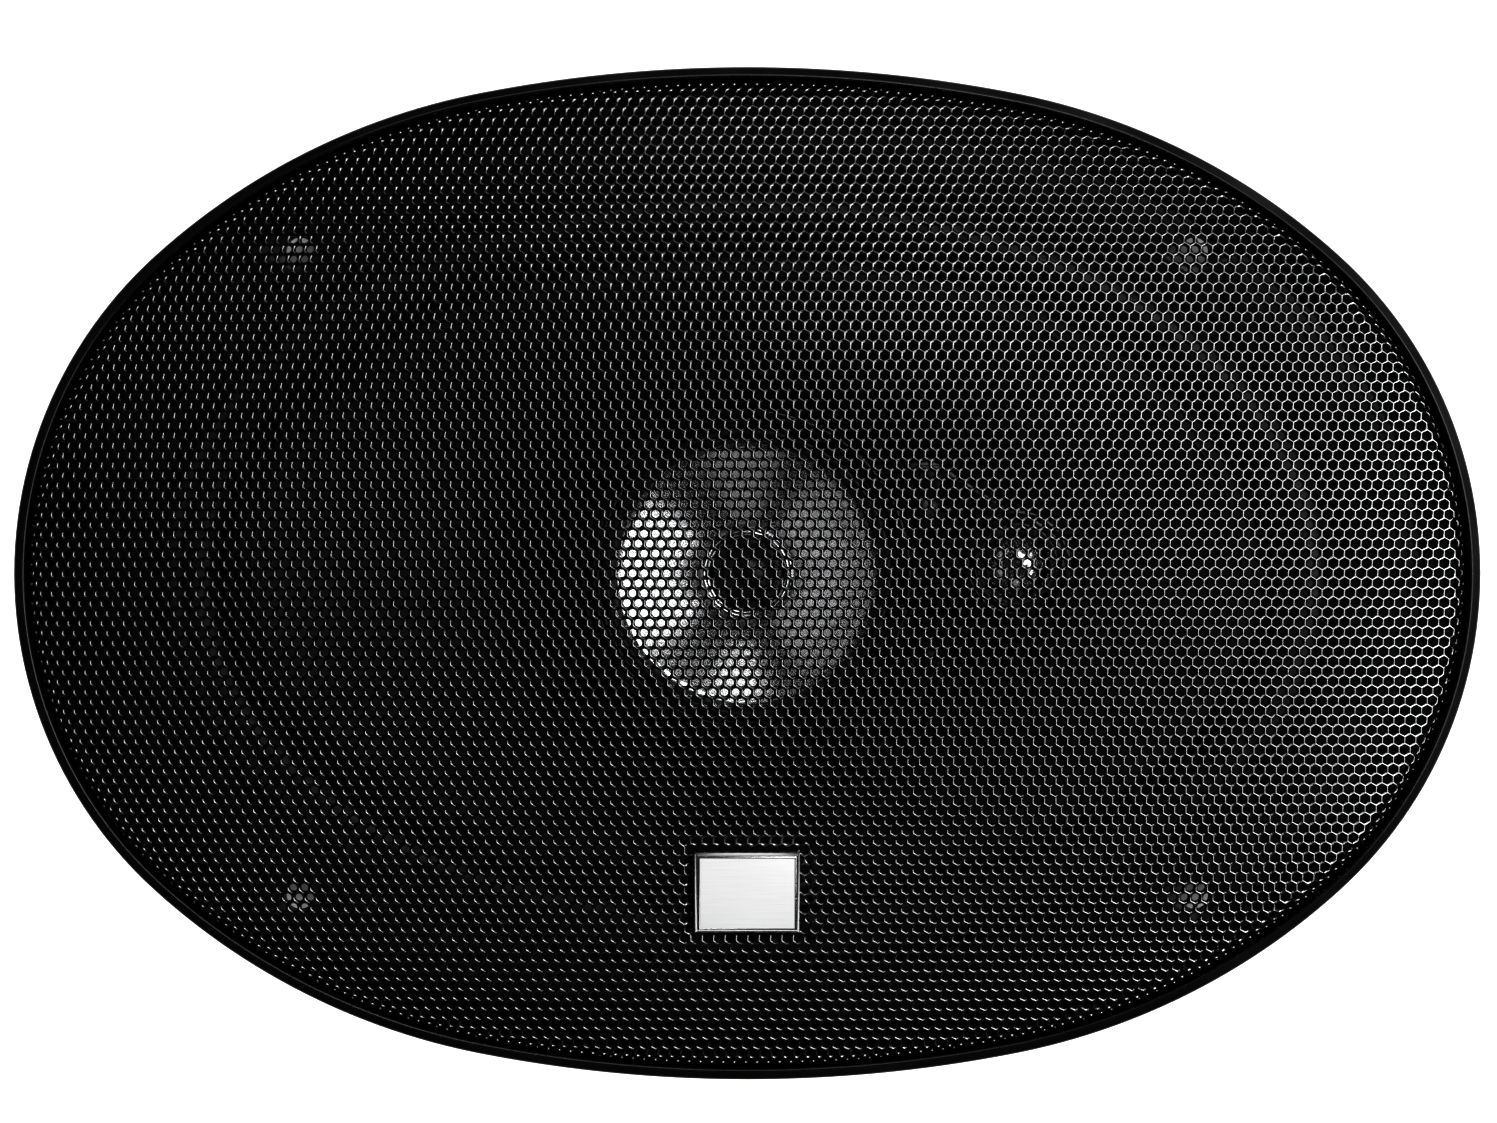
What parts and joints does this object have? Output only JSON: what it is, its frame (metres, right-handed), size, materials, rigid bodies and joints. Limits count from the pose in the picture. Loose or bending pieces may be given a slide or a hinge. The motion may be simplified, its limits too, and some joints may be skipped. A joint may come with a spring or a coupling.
{
  "type": "coaxial car speaker",
  "caption": "Oval coaxial car speaker: domed perforated grille, half-roll woofer, mid-range pod and small tweeter on a post, pressed basket, ferrite motor.",
  "frame": {"origin": "centre of the four screw holes on the flange's rear face", "axes": "+Z along the speaker's axis, out of the grille; X along the oval's length"},
  "size_m": [0.244, 0.1686, 0.104],
  "materials": {
    "black_steel": "satin black paint",
    "plated_steel": "zinc plated",
    "ferrite": "dull dark grey",
    "gasket_board": "matt black",
    "rubber": "satin black",
    "spider_cloth": "woven, resin yellow",
    "pulp": "coated black pulp",
    "black_cloth": "matt black",
    "film": "amber film",
    "copper": "enamelled wire",
    "black_plastic": "fine satin black",
    "fibre_board": "brown",
    "tinned_brass": "tinned",
    "capacitor_film": "dark blue sleeve",
    "mirror_film": "polished silver",
    "silver_plastic": "polished",
    "black_film": "glossy black",
    "brushed_aluminium": "brushed, bevels polished"
  },
  "bodies": {
    "frame": {"basket_flange": "black_steel", "basket_arms": "black_steel", "basket_cup": "black_steel", "front_gasket": "gasket_board", "surround": "rubber", "spider": "spider_cloth", "top_plate": "plated_steel", "magnet_ring": "ferrite", "back_yoke": "plated_steel", "frame_rivets": "plated_steel", "pod_post": "black_plastic", "post_screw": "plated_steel", "terminal_bracket": "black_steel", "terminal_board": "fibre_board", "positive_blade": "tinned_brass", "negative_blade": "tinned_brass", "terminal_rivets": "tinned_brass", "board_rivets": "plated_steel", "crossover_capacitors": "capacitor_film", "tinsel_leads": "copper", "mid_housing": "black_plastic", "mid_trim_ring": "black_plastic", "mid_surround": "rubber", "mid_magnet_cup": "plated_steel", "mid_magnet": "plated_steel", "mid_pole_plate": "plated_steel", "tweeter_housing": "black_plastic", "tweeter_motor": "plated_steel", "tweeter_ring": "black_plastic", "pod_screws": "plated_steel"},
    "woofer": {"woofer_cone": "pulp", "coil_former": "film", "coil_winding": "copper", "dust_shield": "black_cloth"},
    "mid": {"mid_cone": "mirror_film", "mid_dome": "black_film", "mid_dome_ring": "silver_plastic", "mid_coil": "copper"},
    "tweeter": {"tweeter_dome": "silver_plastic", "tweeter_coil": "copper"},
    "grille": {"grille_frame": "black_plastic", "grille_mesh": "black_steel", "badge_bezel": "brushed_aluminium", "badge_face": "brushed_aluminium", "badge_studs": "brushed_aluminium"}
  },
  "joints": [
    {"name": "woofer_travel", "type": "slide", "parent": "frame", "child": "woofer", "axis": [0, 0, 1], "range_m": [-0.004, 0.004], "stiffness_N_per_m": 3000, "deforming": ["surround", "spider", "tinsel_leads"]},
    {"name": "mid_travel", "type": "slide", "parent": "frame", "child": "mid", "axis": [0, 0, 1], "range_m": [-0.0005, 0.0005], "stiffness_N_per_m": 400, "deforming": ["mid_surround"]},
    {"name": "tweeter_travel", "type": "slide", "parent": "frame", "child": "tweeter", "axis": [0, 0, 1], "range_m": [-0.0002, 0.0002], "stiffness_N_per_m": 100},
    {"name": "grille_lift", "type": "slide", "parent": "frame", "child": "grille", "axis": [0, 0, 1], "range_m": [0, 0.06]}
  ]
}
